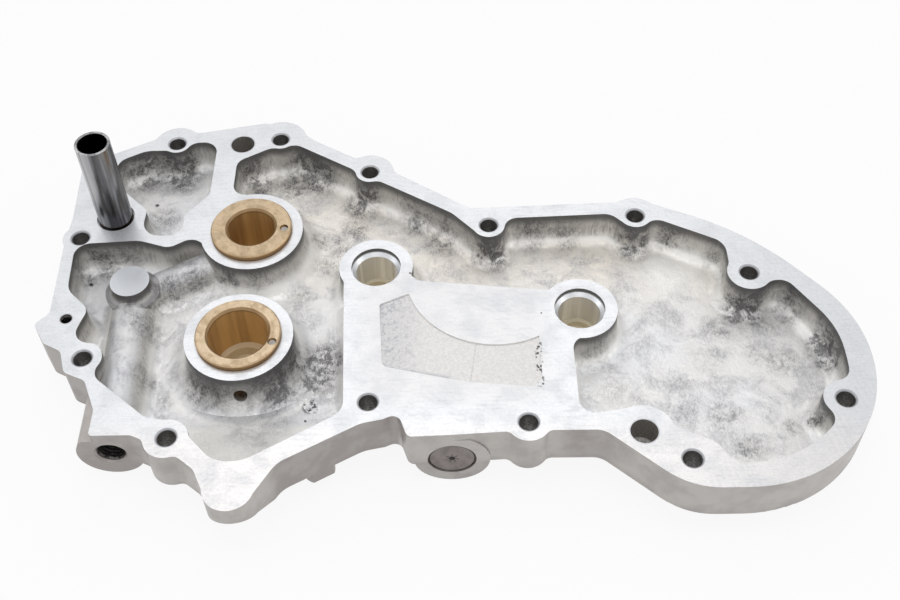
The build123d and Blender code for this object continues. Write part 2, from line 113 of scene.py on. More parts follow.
# Bottoms of the blind bores, and the dowel and tapped holes: centre and radius
WELLS = [(CAM_CENTRE, 14.3), (PINION_CENTRE, 12.7), (IDLER_CENTRE, 10.2), (DRIVE_CENTRE, 10.2)]
SOCKETS = [((-9.0, 109.2), 5.2), ((154.3, -47.2), 5.2), (TAPPED_CENTRE, 2.4)]

# Single pits: x, y and radius
PITS = [
    (-47.5, 87.0, 0.8), (48.9, 62.9, 0.7), (67.1, 31.3, 0.4), (-68.8, 40.8, 0.8),
    (119.6, 9.3, 0.3), (26.8, -30.8, 0.5),
]

# Centres of the screw holes
SCREWS = [
    (-22.0, -46.8), (52.0, -32.3), (112.0, -42.3), (170.5, -59.2), (231.3, -34.0),
    (205.3, 28.9), (162.3, 61.5), (100.0, 57.4), (48.8, 90.4), (7.8, 112.1),
    (-38.6, 110.4), (-72.0, 53.7), (-59.8, -9.6),
]

# Span of the outline below on its ramp: where it starts and how far it goes, in x and in y
EDGE_X, EDGE_RUN = -80.0, 330.0
EDGE_Y, EDGE_RISE = -80.0, 220.0

# Plan outline halfway across the gasket land: x and y, for the back and the front edge
LAND_BACK = [
    (-76, 96), (-66, 101.5), (-46, 110), (-40, 114), (-30, 114.5), (2, 119), (14, 116), (21, 107),
    (42, 96), (56, 92), (60, 85), (92, 61.5), (104, 62), (150, 66.5), (168, 66.5), (182, 59),
    (206, 45), (216, 34), (230, 17), (239, 0), (241, -18),
]
LAND_FRONT = [
    (-76, 16), (-69, 2), (-62, -8), (-59, -16), (-52, -24), (-44, -34), (-34, -42), (-22, -47),
    (-14, -52), (-4, -63), (6, -63), (20, -53), (44, -41), (60, -36), (66, -42), (130, -42),
    (142, -43), (160, -58), (172, -66), (190, -66.5), (206, -63), (226, -50), (236, -36), (241, -18),
]

# Dark brushed patches in the chambers, partly painted shade on walls, flanks and the ridge's lower side:
# x, y, radius and strength
TARNISH_AND_SHADE = [
    (162, 56.5, 8, 0.9), (204, 20.5, 10, 0.95), (234, 1, 9, 0.95), (235, -5, 8, 0.8),
    (211, 16, 9, 0.3), (193, 12, 7, 0.45), (186, -2, 9, 0.2), (215, -4.6, 8, 0.45),
    (207, -1, 7, 0.35), (172, -19, 7, 0.25), (174, -28, 8, 0.3), (188.5, -31, 9, 0.45),
    (196, -46, 7, 0.5), (214, -36, 4, 0.5), (223, -34, 5, 0.8), (133, 62, 8, 0.5),
    (142, 51.5, 5, 0.4), (179, 60, 8, 0.8), (187, 57, 6, 0.55), (196, 48, 6, 0.5),
    (101, 53, 9, 0.95), (222, 20, 8, 0.6), (80, 62, 9, 0.6), (92, 56, 6, 0.3),
    (-38, 104, 10, 0.95), (-54, 105, 11, 0.75), (-42, 79, 7, 0.5), (-62, 98, 7, 0.45),
    (-5, 109, 8, 0.55), (13, 98, 10, 0.75), (24, 105, 14, 0.9), (45, 84, 9, 0.85),
    (42, 70, 7, 0.6), (36, 60, 9, 0.5), (32, 48, 8, 0.4), (-64, 50, 8, 0.65),
    (-53, 49.5, 7, 0.5), (-71, 43, 6, 0.6), (-29, 43, 6, 0.45), (-33, 31, 8, 0.55),
    (-40, 12, 8, 0.5), (26, 63, 7, 0.5), (-8, 39.7, 8, 0.75), (11, 47, 8, 0.5),
    (-17, 35, 4, 0.4), (-14, -15, 8, 0.85), (-5, -16, 8, 0.85), (14, -17, 9, 0.9),
    (22, -6, 8, 0.75), (32, -2, 10, 1.0), (30, -10, 9, 0.8), (4, -37, 8, 0.5),
    (15, -33, 8, 0.4), (-38, -12, 6, 0.45), (20, 30, 6, 0.4), (-43, 20, 9, 0.35),
    (-29, -20, 4, 0.35), (-46, 23, 6, 0.55), (-37, 27, 5, 0.5), (-24, 35.5, 7, 0.4),
    (2, 37.5, 6, 0.6), (140, -3, 7, 0.4), (10, -41, 8, 0.45), (70, 73, 9, 0.7),
    (118, 63, 8, 0.6), (203, 38, 8, 0.7), (150, -18, 8, 0.25), (24, 20, 7, 0.35),
    (-3, 98, 8, 0.85),
]


def linear(red, green, blue):
    """Linear colour of a display colour given in 0 to 255."""
    def channel(value):
        value /= 255.0
        return value / 12.92 if value <= 0.04045 else ((value + 0.055) / 1.055) ** 2.4
    return (channel(red), channel(green), channel(blue), 1.0)


class Wire:
    """One output of a shader node, with the maths that finishes need."""

    def __init__(self, bench, socket):
        self.bench = bench
        self.socket = socket

    def maths(self, operation, *values):
        return self.bench.node("ShaderNodeMath", {"operation": operation}, dict(enumerate(values)))

    def __add__(self, other):
        return self.maths("ADD", self, other)

    def __radd__(self, other):
        return self.maths("ADD", other, self)

    def __sub__(self, other):
        return self.maths("SUBTRACT", self, other)

    def __rsub__(self, other):
        return self.maths("SUBTRACT", other, self)

    def __mul__(self, other):
        return self.maths("MULTIPLY", self, other)

    def __rmul__(self, other):
        return self.maths("MULTIPLY", other, self)

    def __truediv__(self, other):
        return self.maths("DIVIDE", self, other)

    def __pow__(self, other):
        return self.maths("POWER", self, other)

    def __abs__(self):
        return self.maths("ABSOLUTE", self)

    def larger(self, other):
        return self.maths("MAXIMUM", self, other)

    def smaller(self, other):
        return self.maths("MINIMUM", self, other)

    def fade(self, low, high):
        """0 below low, 1 above high and smooth between; low may be the larger."""
        settings = {"interpolation_type": "SMOOTHSTEP"}
        ends = (low, high, 0.0, 1.0) if low < high else (high, low, 1.0, 0.0)
        inputs = {"Value": self}
        inputs.update(zip(("From Min", "From Max", "To Min", "To Max"), ends))
        return self.bench.node("ShaderNodeMapRange", settings, inputs)

    def between(self, low, high, soft):
        """1 between two values, with soft ends."""
        return self.fade(low - soft, low + soft) * self.fade(high + soft, high - soft)


class Bench:
    """A node tree under construction."""

    def __init__(self, tree):
        self.tree = tree
        tree.nodes.clear()

    def node(self, kind, settings, inputs, output=0):
        """Any node: its type, its settings, its sockets' values or links, the output wanted."""
        made = self.tree.nodes.new(kind)
        for name, value in settings.items():
            if name == "stops":
                self.lay_stops(made.color_ramp, value)
            else:
                setattr(made, name, value)
        for key, value in inputs.items():
            if isinstance(value, Wire):
                self.tree.links.new(value.socket, made.inputs[key])
            else:
                made.inputs[key].default_value = value
        return Wire(self, made.outputs[output]) if len(made.outputs) else None

    def lay_stops(self, ramp, stops):
        while len(ramp.elements) > 1:
            ramp.elements.remove(ramp.elements[0])
        ramp.elements[0].position, ramp.elements[0].color = stops[0]
        for position, color in stops[1:]:
            ramp.elements.new(position).color = color

    def split(self, vector):
        made = self.node("ShaderNodeSeparateXYZ", {}, {0: vector}).socket.node
        return [Wire(self, made.outputs[index]) for index in range(3)]

    def join(self, x, y, z):
        return self.node("ShaderNodeCombineXYZ", {}, {0: x, 1: y, 2: z})


class Finish(Bench):
    """A material under construction, on object coordinates in millimetres."""

    def __init__(self, name):
        self.material = bpy.data.materials.new(name)
        self.material.use_nodes = True
        super().__init__(self.material.node_tree)
        metres = self.node("ShaderNodeTexCoord", {}, {}, "Object")
        scale = {0: metres, "Scale": 1 / MM}
        self.place = self.node("ShaderNodeVectorMath", {"operation": "SCALE"}, scale)
        self.x, self.y, self.z = self.split(self.place)
        self.plan = self.join(self.x, self.y, 0.0)
        facing = self.node("ShaderNodeNewGeometry", {}, {}, "Normal")
        self.nz = self.split(facing)[2]

    def mottle(self, size, detail=4.0, roughness=0.55, distortion=0.0, place=None):
        """Noise whose patches are about size millimetres across."""
        inputs = {
            "Vector": place or self.place, "Scale": 1.0 / size, "Detail": detail,
            "Roughness": roughness, "Distortion": distortion,
        }
        return self.node("ShaderNodeTexNoise", {}, inputs)

    def cells(self, size):
        """Distance to the nearest of many scattered points, in cells."""
        inputs = {"Vector": self.place, "Scale": 1.0 / size}
        return self.node("ShaderNodeTexVoronoi", {}, inputs, "Distance")

    def stretched(self, x, y, z):
        """Coordinates squeezed along each axis, for brushed and streaked marks."""
        return self.join(self.x * x, self.y * y, self.z * z)

    def reach(self, centre):
        """Distance in plan from an upright axis."""
        ends = {0: self.plan, 1: (*centre, 0.0)}
        return self.node("ShaderNodeVectorMath", {"operation": "DISTANCE"}, ends, "Value")

    def nearest(self, rows):
        """Distance in plan outside the nearest of several circles, given as centre and radius."""
        found = None
        for centre, radius in rows:
            away = self.reach(centre) - radius
            found = away if found is None else found.smaller(away)
        return found

    def patches(self, rows):
        """Soft round patches in plan; where they meet, the strongest shows."""
        found = None
        for x, y, radius, strength in rows:
            inputs = {
                "Value": self.reach((x, y)), "From Min": radius * 0.3, "From Max": radius * 1.4,
                "To Min": strength, "To Max": 0.0,
            }
            patch = self.node("ShaderNodeMapRange", {"interpolation_type": "SMOOTHSTEP"}, inputs)
            found = patch if found is None else found.larger(patch)
        return found

    def mix(self, amount, first, second):
        """Blend of two colours."""
        inputs = {0: amount, 6: first, 7: second}
        return self.node("ShaderNodeMix", {"data_type": "RGBA"}, inputs, 2)

    def coats(self, color, *layers):
        """A colour with more laid over it, each layer an amount and a colour."""
        for amount, coat in layers:
            color = self.mix(amount, color, coat)
        return color

    def bump(self, height, distance):
        """Relief of so many millimetres for a height from 0 to 1."""
        inputs = {"Height": height, "Strength": 1.0, "Distance": distance * MM}
        return self.node("ShaderNodeBump", {}, inputs)

    def done(self, color, roughness, metallic, normal):
        inputs = {
            "Base Color": color, "Roughness": roughness, "Metallic": metallic, "Normal": normal,
        }
        shader = self.node("ShaderNodeBsdfPrincipled", {}, inputs)
        self.node("ShaderNodeOutputMaterial", {}, {"Surface": shader})
        return self.material


class Casting(Finish):
    """The casting's finish: its zones, and the patterns that they share."""

    def __init__(self, colours):
        super().__init__("Cast aluminium, machined and burnished")
        self.colours = colours
        up = self.nz.fade(0.9, 0.97)
        web = self.x.between(*WEB_X, 0.3) * self.y.between(*WEB_Y, 0.3)
        self.machined = up * self.z.fade(-0.45, -0.35)
        self.lip = up * self.z.between(-0.9, -0.45, 0.08) * web
        # The lip's side walls, which take the painted highlight colour
        self.lip_side = (1 - up) * self.z.fade(-0.8, -0.65) * web
        from_back = (self.land_edge(LAND_BACK) - self.y).fade(-0.5, 0.5)
        from_front = (self.y - self.land_edge(LAND_FRONT)).fade(-0.5, 0.5)
        inside = from_back * from_front * self.x.fade(-76.2, -75.4)
        self.chamber = inside * (1 - self.machined) * (1 - self.lip)
        self.chamber = self.chamber * self.nz.fade(-0.35, -0.15) * self.z.fade(-22.0, -18.0)
        self.well = self.nearest(WELLS).fade(0.15, -0.15) * self.z.between(-29.0, -11.0, 1.0)
        self.socket = self.nearest(SOCKETS)
        self.screw = self.nearest([(centre, SCREW_HOLE_R) for centre in SCREWS])

        # Chambers: depth below the gasket face, walls, streaks, brush marks and dark patches that are
        # partly painted shade
        self.depth = self.z / FLOOR_Z
        self.wall = self.nz.fade(0.92, 0.3)
        self.streaks = self.mottle(1.0, 5.0, 0.68, 0.4, self.stretched(1.0, 1.0, 0.22))
        strokes = self.mottle(0.9, 5.0, 0.75, 0.9, self.stretched(0.8, 0.5, 0.6))
        self.speckle = strokes.fade(0.44, 0.58)
        self.cloud = self.mottle(13.0, 5.0, 0.6, 0.8)
        # Dark brushed patches, partly painted shade where walls, flanks and the ridge fall in shade
        self.tarnish_and_shade = self.patches(TARNISH_AND_SHADE) * (
            0.45 + 0.75 * self.mottle(5.0, 4.0, 0.6, 0.6).fade(0.36, 0.6))
        self.clear_of_tarnish_and_shade = 1 - self.tarnish_and_shade

        # Gasket face: clouds, fine marks, scratches along x and sweeps of the cutter
        self.veil = self.mottle(11.0, 5.0, 0.6, 0.4).fade(0.42, 0.66)
        self.fine = self.mottle(1.1, 3.0, 0.7).fade(0.4, 0.64)
        along = self.stretched(0.18, 1.6, 1.0)
        self.scratch = self.mottle(1.6, 3.0, 0.65, 0.2, along).fade(0.5, 0.68)
        sweep = self.node(
            "ShaderNodeMath", {"operation": "SINE"}, {0: self.reach(SWEEP_CENTRE) * 2.6})
        self.swept = (sweep * 0.5 + 0.5) * self.mottle(20.0, 2.0, 0.5).fade(0.5, 0.62)

    def land_edge(self, points):
        """Y of a land edge at each x, read from a ramp."""
        stops = []
        for x, y in points:
            grey = (y - EDGE_Y) / EDGE_RISE
            stops.append(((x - EDGE_X) / EDGE_RUN, (grey, grey, grey, 1.0)))
        place = {0: (self.x - EDGE_X) / EDGE_RUN}
        return self.node("ShaderNodeValToRGB", {"stops": stops}, place) * EDGE_RISE + EDGE_Y

    def chamber_color(self):
        """Light floor, walls that darken upwards as painted shade and brighten low down and at their foot
        as painted highlight, and dark brushed patches that are partly painted shade.
        """
        colours = self.colours
        warm = self.mottle(38.0, 3.0, 0.5).fade(0.42, 0.6) * 0.3
        warm = warm + self.y.fade(10.0, 50.0) * self.x.fade(-22.0, -10.0) * 0.7
        haze = self.cloud.fade(0.44, 0.7) * 0.38
        haze = haze + self.speckle * self.cloud.fade(0.44, 0.64) * 0.26
        haze = haze + self.z.fade(-14.0, -9.0) * self.x.fade(-16.0, -24.0) * 0.28
        # Dark brushed patches, partly painted shade, laid on floor and walls
        stain = self.tarnish_and_shade * (0.3 + 0.6 * self.speckle) + self.tarnish_and_shade * self.tarnish_and_shade * 0.35
        floor = self.coats(
            self.mix(warm, colours.floor_cool, colours.floor_warm),
            (haze.smaller(1.0), colours.floor_dull), (stain.smaller(0.9), colours.tarnish_and_shade),
        )
        clumps = self.mottle(7.0, 4.0, 0.6, 0.0, self.stretched(1.0, 1.0, 0.5)).fade(0.42, 0.6)
        streaked = self.streaks.fade(0.42, 0.66) * (0.25 + 0.75 * clumps)
        side = self.coats(
            # Painted shade: walls darken towards the top, with dark streaks strongest there; painted
            # highlight lower down
            self.mix(self.depth.fade(0.08, 0.42), colours.shaded_wall_top, colours.wall),
            (self.depth.fade(0.42, 0.9) * 0.85, colours.cove_highlight),
            (streaked * self.depth.fade(1.1, 0.5) * 0.55, colours.tarnish_and_shade),
            ((stain * 1.15).smaller(0.96), colours.tarnish_and_shade),
        )
        # Painted highlight along the foot of the walls, kept off the dark patches
        foot = self.wall * (1 - self.wall) * 4 * self.depth.fade(0.5, 0.8) * self.clear_of_tarnish_and_shade
        return self.coats(floor, (self.wall, side), (foot * 0.7, colours.cove_highlight))

    def chamber_marks(self, color):
        """Painted shade round the front of the cam boss, painted highlights at its foot and on the floor,
        painted shade on the ridge and painted shadow at the post's foot.
        """
        colours = self.colours
        around = self.reach(CAM_CENTRE) + self.mottle(9.0, 3.0, 0.5) * 6.0
        # Painted shade on the floor and flank in front of the cam boss
        halo_shade = around.fade(36.0, 24.0) * self.y.fade(2.0, -14.0)
        halo_shade = halo_shade * (0.3 + 0.35 * self.cloud.fade(0.35, 0.6) + 0.2 * self.speckle)
        # Painted highlight in a ring at the cam boss's foot, at the front
        ring = around.between(34.5, 37.0, 2.0) * self.y.fade(-12.0, -24.0) * self.clear_of_tarnish_and_shade
        # Painted highlight on the sloping front floor
        apron = self.y.fade(-31.0, -36.0) * self.x.between(-28.0, 40.0, 6.0)
        apron = apron * self.nz.fade(0.6, 0.85) * self.clear_of_tarnish_and_shade
        from_post = (self.x - POST_CENTRE[0], self.y - POST_CENTRE[1])
        across = from_post[0] * RIDGE_WAY[1] - from_post[1] * RIDGE_WAY[0]
        along = from_post[0] * RIDGE_WAY[0] + from_post[1] * RIDGE_WAY[1]
        shaded = (across + 2.5 * self.cloud).between(3.5, 9.5, 2.5)
        shaded = shaded * along.between(10.0, 32.0, 4.0) * (0.3 + 0.3 * self.speckle)
        # Painted light on the floor before the back wall of the right chamber
        pool = self.reach(POOL_CENTRE).fade(22.0, 5.0) * (1 - self.wall) * self.clear_of_tarnish_and_shade
        # Painted shadow round the foot of the post
        post_foot = (self.reach(POST_CENTRE) - POST_R).between(0.2, 3.2, 0.5)
        post_foot = post_foot * self.z.between(-9.0, -5.0, 0.8)
        return self.coats(
            color,
            (halo_shade, colours.tarnish_and_shade), (ring * 0.7, colours.cove_highlight), (apron * 0.95, colours.cove_highlight),
            (shaded, colours.tarnish_and_shade), (pool * 0.75, colours.cove_highlight),
            (post_foot * 0.75, colours.tarnish_and_shade),
        )

    def face_color(self):
        """Bright gasket face with painted light towards the front edge and painted shade over the web,
        faint clouds, scratches and grey rims round the sockets.
        """
        colours = self.colours
        worn = self.veil * 0.3 + self.fine * 0.3 + self.scratch * 0.25 + self.swept * 0.15
        middle = self.x.between(46.0, 122.0, 10.0) * self.y.between(-34.0, 34.0, 8.0)
        post_top = self.reach(POST_CENTRE).fade(POST_R + 0.4, POST_R - 0.4)
        return self.coats(
            # Painted light towards the front edge, and painted shade over the web below
            self.mix(self.y.fade(-34.0, -56.0), colours.machined, colours.lit_machined_front),
            (middle, colours.shaded_machined_web), (worn.smaller(1.0), colours.machined_dull),
            (post_top * 0.9, colours.post_top),
            (self.socket.between(-0.1, 0.45, 0.15) * 0.55, colours.lip_dull),
        )

    def lip_color(self):
        """Lip left as cast: grain, spots to the left, a fine line and a dull brim."""
        grain = self.mottle(0.9, 3.0, 0.65).fade(0.36, 0.64) * 0.3 + self.x.fade(78.0, 58.0) * 0.3
        spots = self.mottle(1.6, 4.0, 0.65).fade(0.5, 0.64) * (0.1 + 0.6 * self.x.fade(74.0, 58.0))
        line = abs(self.x - 94.0 - self.y * 0.14).fade(0.35, 0.1) * 0.35
        front_brim = (self.y + 16.6 + (self.x - 58.0) * 0.2).fade(2.0, 0.2)
        brim = (self.x.fade(56.2, 55.2) + front_brim * self.x.fade(86.0, 80.0)) * 0.6
        marks = grain + spots + line + brim
        return self.mix(marks.smaller(1.0), self.colours.lip, self.colours.lip_dull)

    def outside_color(self):
        """Satin outside, duller in clouds, with painted shade in front, to the left, in one corner and low
        down.
        """
        shade = self.mottle(11.0, 4.0, 0.6).fade(0.35, 0.7) * 0.6
        # Painted shade in front, to the left, in one corner and low down
        shade = shade + self.x.between(16.0, 62.0, 5.0) * self.y.fade(-66.0, -60.0) * 0.6
        shade = shade + self.x.fade(-26.0, -38.0) * 0.5
        shade = shade + self.reach(SHADED_CORNER).fade(16.0, 4.0) * 0.5
        shade = shade + self.z.fade(-15.0, -20.0) * 0.35
        return self.mix(shade.smaller(1.0), self.colours.outside, self.colours.outside_dull_and_shade)

    def pores(self):
        """Pores where the lip's right edge broke out, a cluster in the chamber, and pits."""
        edge = self.x.between(116.4, 118.6, 0.5) * self.y.between(-26.0, -5.0, 1.0)
        broken = self.cells(1.5).fade(0.42, 0.3) * (edge * self.z.fade(-2.0, -1.0))
        cluster = self.reach(CLUSTER_CENTRE).fade(4.2, 2.4)
        cluster = cluster * self.mottle(2.0, 3.0, 0.7).fade(0.5, 0.56) * self.z.fade(-6.0, -8.0)
        found = broken.larger(cluster)
        for x, y, radius in PITS:
            found = found.larger(self.reach((x, y)).fade(radius * 1.3, radius * 0.7))
        return found * self.z.fade(-17.5, -16.5)


def cast_aluminium(colours):
    """Cast aluminium: machined gasket face, burnished chambers and a satin outside."""
    f = Casting(colours)
    hole_rim = f.screw.fade(0.9, 0.7) * f.z.fade(-0.8, -0.5)
    # Painted shade on the walls of the screw holes
    shaded_hole_wall = f.screw.fade(0.2, 0.05) * f.z.fade(-0.3, -0.7)
    socket_wall = f.socket.fade(0.25, 0.05) * f.z.between(-14.8, -0.2, 0.2)
    pores = f.pores()
    color = f.coats(
        f.outside_color(),
        (f.chamber, f.chamber_marks(f.chamber_color())), (f.well, colours.well),
        (f.lip, f.lip_color()), (f.lip_side, colours.cove_highlight), (f.machined, f.face_color()),
        (hole_rim * 0.8, colours.lip_dull), (shaded_hole_wall * (0.5 + 0.45 * f.fine), colours.hole),
        (socket_wall * (0.5 + 0.5 * f.fine), colours.socket), (pores * 0.85, colours.pore),
    )
    roughness = 0.4 + f.chamber * (0.05 * f.cloud + 0.12 * f.speckle - 0.02)
    polished = 0.3 + 0.08 * f.veil + 0.06 * f.scratch
    roughness = roughness + f.machined * (polished - roughness)
    sand = f.mottle(0.9, 4.0, 0.6)
    waves = f.mottle(6.0, 3.0, 0.5)
    burnished = waves * 0.8 + sand * 0.2 + f.speckle * 0.07 + f.streaks * f.wall * 0.2
    satin = (1 - f.chamber) * (1 - f.machined) * (sand * 0.12 + waves * 0.2)
    cut = f.machined * (f.scratch * 0.02 + f.swept * 0.015)
    relief = f.chamber * burnished + satin + cut - pores * 0.8
    return f.done(color, roughness, 0.55 - 0.4 * f.well, f.bump(relief, 0.45))


def bronze(colours, name, centre, bore, light, scuffed):
    """Worn bronze: a lighter, scuffed flange and a browner bore."""
    f = Finish(name)
    reach = f.reach(centre)
    flange = f.nz.fade(0.5, 0.9)
    rim = (reach - bore - 3.0).fade(0.0, 1.5) * (1 - flange)
    scuff = f.mottle(4.0, 5.0, 0.65, 0.5).fade(0.4, 0.66)
    turned = f.join(reach * 2.2, 0.0, 0.0)
    rings = f.mottle(1.0, 3.0, 0.6, 0.0, turned).fade(0.45, 0.6)
    grain = f.mottle(0.5, 3.0, 0.6).fade(0.45, 0.65)
    face = f.mix((scuff * 0.6 + rings * 0.25 + grain * 0.3).smaller(1.0), light, scuffed)
    streak = f.mottle(6.0, 3.0, 0.55, 0.0, f.stretched(1.0, 1.0, 0.03)).fade(0.4, 0.6)
    edge = (reach - bore).between(-0.2, 0.95, 0.25) * f.z.fade(0.5, 1.2)
    color = f.coats(
        f.mix(0.05 + streak * 0.75, colours.bronze_bore, colours.bronze_bore_dark),
        (rim, colours.bronze_rim), (flange, face), (edge * 0.7, colours.bronze_edge),
    )
    relief = f.bump(scuff * 0.4 + rings * 0.4 + grain * 0.2, 0.05)
    return f.done(color, 0.36 + scuff * 0.14, 0.62 + 0.18 * flange.larger(rim), relief)


def drawn_steel(colours):
    """Drawn steel tube with long dark bands and fine marks along its length, and painted shade that
    darkens it towards its foot.
    """
    f = Finish("Drawn steel tube")
    bands = f.mottle(5.0, 2.0, 0.5, 0.0, f.stretched(1.0, 1.0, 0.008)).fade(0.42, 0.6)
    lines = f.mottle(0.8, 3.0, 0.6, 0.0, f.stretched(1.0, 1.0, 0.015)).fade(0.4, 0.62)
    smudge = f.mottle(9.0, 4.0, 0.6).fade(0.45, 0.7)
    # Dark bands and marks, and painted shade towards the tube's foot
    dark = bands * 0.5 + lines * 0.2 + smudge * 0.08 + f.z.fade(24.0, 4.0) * 0.45
    inner = f.reach(TUBE_CENTRE).fade(6.5, 6.2) * f.z.fade(42.7, 41.0)
    color = f.coats(
        f.mix(dark.smaller(1.0), colours.steel, colours.steel_dark_and_shade),
        (f.z.fade(1.6, 0.2) * 0.7, colours.tube_foot), (inner, colours.tube_bore),
    )
    return f.done(color, 0.2 + smudge * 0.08, 1.0, f.bump(lines, 0.015))


def ground_pin(colours):
    """Ground pin end with soft clouds and fine grain."""
    f = Finish("Ground pin")
    cloud = f.mottle(2.5, 5.0, 0.65, 0.4).fade(0.38, 0.66)
    grain = f.mottle(0.5, 3.0, 0.6).fade(0.45, 0.65)
    color = f.mix(cloud * 0.6 + grain * 0.3, colours.pin, colours.pin_dark)
    return f.done(color, 0.35 + cloud * 0.12, 0.8, f.bump(cloud * 0.5 + grain * 0.5, 0.04))


def honed_metal(colours):
    """Honed stud bush: bright lead at the mouth and a warm grey bore."""
    f = Finish("Honed stud bush")
    lead = f.z.fade(-3.5, -3.1)
    streak = f.mottle(5.0, 3.0, 0.55, 0.0, f.stretched(1.0, 1.0, 0.04)).fade(0.4, 0.6)
    inner = f.mix(streak * 0.9, colours.stud_bore, colours.stud_bore_dark)
    color = f.mix(lead, inner, colours.machined)
    return f.done(color, 0.3 + streak * 0.1, 0.6 + 0.15 * lead, f.bump(streak, 0.02))


def staked_plug(colours):
    """Dull plug with a star of punch marks round its centre."""
    f = Finish("Staked plug")
    run = f.x - PLUG_CENTRE[0]
    rise = f.z - PLUG_CENTRE[1]
    reach = (run * run + rise * rise) ** 0.5
    cloud = f.mottle(4.0, 4.0, 0.6).fade(0.4, 0.66)
    turn = f.node("ShaderNodeMath", {"operation": "ARCTAN2"}, {0: rise, 1: run})
    wobble = f.mottle(1.5, 3.0, 0.6)
    ray = f.node("ShaderNodeMath", {"operation": "SINE"}, {0: turn * 7.0 + wobble * 6.0})
    star = ray.fade(0.6, 0.95) * (reach + wobble * 2.0).fade(4.6, 2.2)
    mark = star.larger(reach.fade(1.5, 0.9))
    color = f.coats(
        f.mix(cloud * 0.6, colours.plug, colours.plug_dark),
        (mark * 0.9, colours.pore), (reach.fade(PLUG_R - 0.5, PLUG_R) * 0.6, colours.pore),
    )
    return f.done(color, 0.45, 0.6, f.bump(1 - mark, 0.2))


def thread_metal(colours):
    """Cut thread, dull and oily."""
    f = Finish("Cut thread")
    stain = f.mottle(1.5, 4.0, 0.6).fade(0.4, 0.65)
    color = f.mix(stain, colours.thread, colours.pore)
    return f.done(color, 0.42 + stain * 0.15, 0.8, f.bump(stain, 0.03))


def wear(names, material):
    """Give CAD nodes their finish."""
    for name in names:
        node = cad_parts[name]
        node.data.materials.clear()
        node.data.materials.append(material)


def swatch(name, description, red, green, blue):
    return bpy.props.FloatVectorProperty(
        name=name, description=description, subtype="COLOR", size=4, min=0.0, max=1.0,
        default=linear(red, green, blue),
    )


class CoverColours(bpy.types.PropertyGroup):
    """Colours of the cover's finishes."""
    machined: swatch("Gasket face", "Bright machined aluminium", 216, 218, 221)
    # Painted light near the front edge and painted shade over the web, as lighter and darker copies of the
    # face
    lit_machined_front: swatch("Gasket face, front", "Machined aluminium near the front edge", 224, 222, 221)
    shaded_machined_web: swatch("Gasket face, web", "Machined aluminium between the stud bushes", 208, 208, 209)
    machined_dull: swatch("Gasket face, dull", "Clouded machined aluminium", 190, 193, 198)
    post_top: swatch("Post top", "Machined top of the oilway post", 192, 195, 200)
    lip: swatch("Lip", "As-cast lip in the web", 207, 205, 203)
    lip_dull: swatch("Lip, dull", "Darker spots of the lip", 164, 166, 171)
    outside: swatch("Outside", "Satin outside walls", 188, 184, 180)
    # Dull clouds, and painted shade in front, to the left, in one corner and low down
    outside_dull_and_shade: swatch("Outside, dull", "Clouds on the outside walls", 158, 152, 149)
    floor_cool: swatch("Chamber floor, cool", "Burnished floor", 224, 225, 227)
    floor_warm: swatch("Chamber floor, warm", "Warmer burnished floor", 228, 223, 215)
    floor_dull: swatch("Chamber floor, dull", "Clouds on the floor", 160, 161, 166)
    wall: swatch("Chamber wall", "Burnished wall", 206, 203, 198)
    # Painted shade along the top of the chamber walls
    shaded_wall_top: swatch("Chamber wall, top", "Wall just under the gasket face", 106, 105, 102)
    # Painted highlight at the foot of the chamber walls, round the cam boss, on the floor and on the lip's
    # side walls
    cove_highlight: swatch("Cove", "Bright foot of the chamber walls", 246, 245, 242)
    well: swatch("Bush wells", "Bottoms of the blind bores", 226, 216, 192)
    # Colour of the dark brushed patches, also used as painted shade on walls, flanks and the ridge
    tarnish_and_shade: swatch("Tarnish", "Dark brushed patches in the chambers", 92, 91, 92)
    pore: swatch("Pores", "Pores and punch marks", 34, 32, 31)
    socket: swatch("Dowel holes", "Dull walls of the dowel and tapped holes", 162, 157, 152)
    # Painted shade inside the screw holes
    hole: swatch("Screw holes", "Dark walls of the screw holes", 108, 105, 103)
    bronze_face: swatch("Cam bush flange", "Worn bronze thrust face", 200, 181, 155)
    bronze_scuff: swatch("Cam bush flange, scuffed", "Scuffed bronze", 164, 142, 113)
    pinion_face: swatch("Pinion bush flange", "Duller bronze thrust face", 190, 170, 142)
    pinion_scuff: swatch("Pinion bush flange, scuffed", "Scuffed bronze", 156, 136, 110)
    bronze_rim: swatch("Bronze rim", "Edge of the flange", 150, 118, 80)
    bronze_bore: swatch("Bronze bore", "Golden bronze in the bore", 226, 190, 132)
    bronze_bore_dark: swatch("Bronze bore, dark", "Browner streaks in the bore", 172, 138, 92)
    bronze_edge: swatch("Bronze edge", "Brown line where the bore meets the flange", 112, 84, 52)
    steel: swatch("Tube steel", "Bright drawn steel", 174, 174, 176)
    # Dark bands on the tube, and its painted shade towards the foot
    steel_dark_and_shade: swatch("Tube steel, dark", "Dark bands on the tube", 70, 70, 72)
    tube_bore: swatch("Tube bore", "Dark inside of the tube", 30, 30, 30)
    tube_foot: swatch("Tube foot", "Brown line round the tube's foot", 66, 56, 44)
    pin: swatch("Pin steel", "Ground pin ends", 158, 154, 150)
    pin_dark: swatch("Pin steel, dark", "Dull pin ends", 112, 108, 104)
    stud_bore: swatch("Stud bush bore", "Warm grey bore", 252, 250, 246)
    stud_bore_dark: swatch("Stud bush bore, dark", "Streaks in the bore", 216, 213, 207)
    plug: swatch("Plug", "Dull plug", 136, 128, 125)
    plug_dark: swatch("Plug, dark", "Dark clouds on the plug", 104, 97, 94)
    thread: swatch("Thread", "Cut threads", 104, 102, 100)


